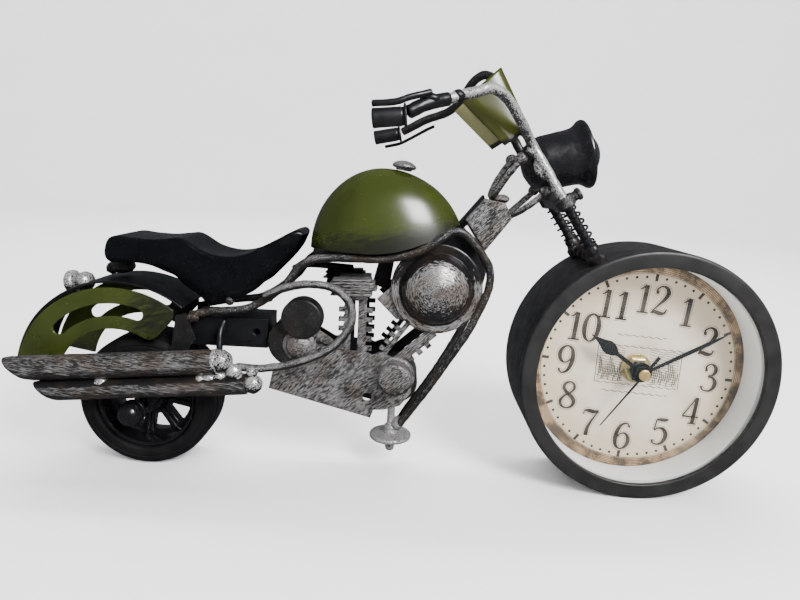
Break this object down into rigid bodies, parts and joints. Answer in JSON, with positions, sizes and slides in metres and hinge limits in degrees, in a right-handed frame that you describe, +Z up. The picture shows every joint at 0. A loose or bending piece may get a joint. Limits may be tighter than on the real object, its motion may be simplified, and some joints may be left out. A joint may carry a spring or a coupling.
{
  "type": "chopper motorcycle desk clock",
  "caption": "Decorative metal chopper motorcycle desk clock: olive tank and fenders, antique silver engine and exhausts, quartz clock as the front wheel.",
  "frame": {"origin": "Centre of the footprint of the whole object's box, on the table.", "axes": "+X forward from the tail to the clock, +Y to the rider's left and the back of the clock, +Z up."},
  "size_m": [0.3132, 0.0984, 0.1756],
  "materials": {
    "case_black": "satin black paint",
    "clear_glass": "clear flat glass",
    "white_card": "white, smooth",
    "dial_paper": "aged cream print",
    "brass": "polished",
    "movement_plastic": "fine matte texture",
    "nylon": "moulded, natural white",
    "hand_black": "black",
    "battery_sleeve": "printed shrink sleeve without text",
    "board_green": "solder mask",
    "coil_wire": "enamelled copper winding",
    "tyre_rubber": "moulded dark grey rubber",
    "gloss_black": "glossy moulded black",
    "satin_black": "semi-gloss black paint",
    "green_paint": "olive green semi-gloss with black dry-brushed edges",
    "antique_silver": "black paint dry-brushed with silver",
    "lamp_lens": "silvered dome"
  },
  "bodies": {
    "frame": {"clock_case": "case_black", "clock_glass": "clear_glass", "spacer_ring": "white_card", "dial": "dial_paper", "dial_nut": "brass", "movement_case": "movement_plastic", "movement_cover": "movement_plastic", "circuit_board": "board_green", "stepper_coil": "coil_wire", "back_cover": "case_black", "rear_axle": "satin_black", "fender_plate_right": "green_paint", "fender_plate_left": "green_paint", "fender_band": "satin_black", "tail_lamp": "antique_silver", "swing_arm_box": "satin_black", "axle_strut_right": "antique_silver", "axle_strut_left": "satin_black", "seat": "satin_black", "seat_post": "satin_black", "fuel_tank": "green_paint", "fuel_cap": "antique_silver", "frame_rod_right": "antique_silver", "frame_rod_left": "satin_black", "neck": "antique_silver", "foot_bolt": "antique_silver", "fork_rod_right": "antique_silver", "fork_rod_left": "satin_black", "grip_right": "satin_black", "grip_left": "satin_black", "brake_lever": "satin_black", "clutch_lever": "satin_black", "fork_spring_right": "satin_black", "fork_spring_left": "satin_black", "fork_clamp": "antique_silver", "fork_mount": "satin_black", "headlight_bucket": "satin_black", "headlight_lens": "lamp_lens", "windscreen": "green_paint", "engine_plate_right": "antique_silver", "engine_plate_left": "satin_black", "cylinder_heads": "antique_silver", "crank_drum": "satin_black", "timing_cap": "antique_silver", "air_cleaner": "antique_silver", "gearbox": "satin_black", "exhaust_upper": "antique_silver", "exhaust_lower": "antique_silver", "header_pipe": "antique_silver"},
    "rear_wheel": {"tyre": "tyre_rubber", "wheel_rim": "gloss_black"},
    "minute_arbor": {"minute_wheel": "nylon", "minute_hand": "hand_black"},
    "hour_pipe": {"hour_wheel": "nylon", "hour_hand": "hand_black"},
    "setting_arbor": {"motion_wheel": "nylon", "setting_knob": "movement_plastic"},
    "seconds_arbor": {"seconds_wheel": "nylon", "second_hand": "brass"},
    "battery_cell": {"battery": "battery_sleeve"}
  },
  "joints": [
    {"name": "rear_wheel_spin", "type": "hinge", "parent": "frame", "child": "rear_wheel", "pos_m": [-0.10466, 0, 0.0289], "axis": [0, 1, 0], "continuous": true},
    {"name": "minute_turn", "type": "hinge", "parent": "frame", "child": "minute_arbor", "pos_m": [0.10414, 0, 0.0525], "axis": [0, 1, 0], "continuous": true},
    {"name": "hour_turn", "type": "hinge", "parent": "frame", "child": "hour_pipe", "pos_m": [0.10414, 0, 0.0525], "axis": [0, 1, 0], "continuous": true},
    {"name": "setting_turn", "type": "hinge", "parent": "frame", "child": "setting_arbor", "pos_m": [0.10414, 0, 0.0629], "axis": [0, 1, 0], "continuous": true},
    {"name": "seconds_turn", "type": "hinge", "parent": "frame", "child": "seconds_arbor", "pos_m": [0.10414, 0, 0.0525], "axis": [0, 1, 0], "continuous": true},
    {"name": "battery_slide", "type": "slide", "parent": "frame", "child": "battery_cell", "axis": [0, 1, 0], "range_m": [0, 0.03]}
  ],
  "couplings": [
    {"joint": "hour_turn", "follows": "minute_turn", "ratio": 0.083333},
    {"joint": "setting_turn", "follows": "minute_turn", "ratio": -0.33333}
  ]
}
